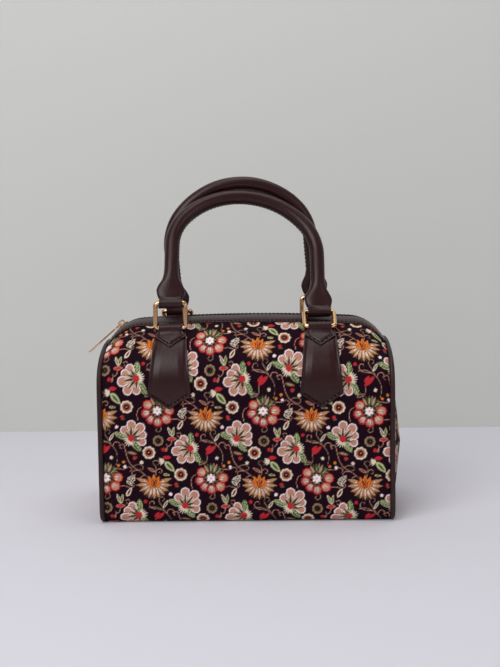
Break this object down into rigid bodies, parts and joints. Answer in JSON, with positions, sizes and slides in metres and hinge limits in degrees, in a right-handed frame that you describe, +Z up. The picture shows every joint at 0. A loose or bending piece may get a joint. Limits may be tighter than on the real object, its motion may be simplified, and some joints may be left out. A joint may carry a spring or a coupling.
{
  "type": "mini duffle bag",
  "caption": "Small upright duffle handbag of printed cloth with leather piping, a zip along the top, two rolled handles on rings and strap rings at the ends.",
  "frame": {"origin": "on the floor under the middle of the bag's body, at the centre of the base panel's underside", "axes": "+Z up, +X along the bag's length to the right seen from the front, front towards -Y"},
  "size_m": [0.2922, 0.1392, 0.3197],
  "materials": {
    "printed_cloth": "woven cotton printed with an all-over floral",
    "leather": "smooth chocolate brown leather",
    "gold_metal": "plated light gold, polished",
    "zip_tape": "woven tape"
  },
  "bodies": {
    "root": {"base_panel": "printed_cloth", "front_panel": "printed_cloth", "rear_panel": "printed_cloth", "left_end_panel": "printed_cloth", "right_end_panel": "printed_cloth", "left_piping": "leather", "right_piping": "leather", "front_top_strip": "leather", "rear_top_strip": "leather", "front_zip_tape": "zip_tape", "rear_zip_tape": "zip_tape", "front_zip_teeth": "gold_metal", "rear_zip_teeth": "gold_metal", "front_left_handle_tab": "leather", "front_right_handle_tab": "leather", "rear_left_handle_tab": "leather", "rear_right_handle_tab": "leather", "left_strap_tab": "leather", "right_strap_tab": "leather"},
    "front_left_ring": {"front_left_ring": "gold_metal"},
    "front_right_ring": {"front_right_ring": "gold_metal"},
    "front_handle": {"front_handle": "leather"},
    "rear_right_ring": {"rear_right_ring": "gold_metal"},
    "rear_left_ring": {"rear_left_ring": "gold_metal"},
    "rear_handle": {"rear_handle": "leather"},
    "zip_slider": {"zip_slider": "gold_metal"},
    "zip_pull": {"zip_pull": "gold_metal"},
    "left_strap_ring": {"left_strap_ring": "gold_metal"},
    "right_strap_ring": {"right_strap_ring": "gold_metal"}
  },
  "joints": [
    {"name": "front_left_ring_turn", "type": "hinge", "parent": "root", "child": "front_left_ring", "pos_m": [-0.0687, -0.043, 0.17638], "axis": [1, 0, 0], "range_deg": [0, 95]},
    {"name": "front_right_ring_turn", "type": "hinge", "parent": "root", "child": "front_right_ring", "pos_m": [0.0687, -0.043, 0.17638], "axis": [1, 0, 0], "range_deg": [0, 95]},
    {"name": "front_handle_turn", "type": "hinge", "parent": "front_left_ring", "child": "front_handle", "pos_m": [-0.0687, -0.043, 0.19938], "axis": [0.9871, 0.1401, -0.0777], "range_deg": [0, 24]},
    {"name": "rear_right_ring_turn", "type": "hinge", "parent": "root", "child": "rear_right_ring", "pos_m": [0.0687, 0.043, 0.17638], "axis": [-1, 0, 0], "range_deg": [0, 95]},
    {"name": "rear_left_ring_turn", "type": "hinge", "parent": "root", "child": "rear_left_ring", "pos_m": [-0.0687, 0.043, 0.17638], "axis": [-1, 0, 0], "range_deg": [0, 95]},
    {"name": "rear_handle_turn", "type": "hinge", "parent": "rear_right_ring", "child": "rear_handle", "pos_m": [0.0687, 0.043, 0.19938], "axis": [-0.9871, -0.1401, -0.0777], "range_deg": [0, 24]},
    {"name": "zip_slider_run", "type": "hinge", "parent": "root", "child": "zip_slider", "pos_m": [-0.09702, 0, 0.14683], "axis": [0, 1, 0], "range_deg": [-4, 34]},
    {"name": "zip_pull_turn", "type": "hinge", "parent": "zip_slider", "child": "zip_pull", "pos_m": [-0.12084, 0, 0.17816], "axis": [0, 1, 0], "range_deg": [0, 120]},
    {"name": "left_strap_ring_turn", "type": "hinge", "parent": "root", "child": "left_strap_ring", "pos_m": [-0.1361, 0, 0.115], "axis": [0, 1, 0], "range_deg": [0, 130]},
    {"name": "right_strap_ring_turn", "type": "hinge", "parent": "root", "child": "right_strap_ring", "pos_m": [0.1361, 0, 0.115], "axis": [0, -1, 0], "range_deg": [0, 130]}
  ],
  "couplings": [
    {"joint": "front_right_ring_turn", "follows": "front_left_ring_turn", "ratio": 1},
    {"joint": "rear_left_ring_turn", "follows": "rear_right_ring_turn", "ratio": 1}
  ]
}
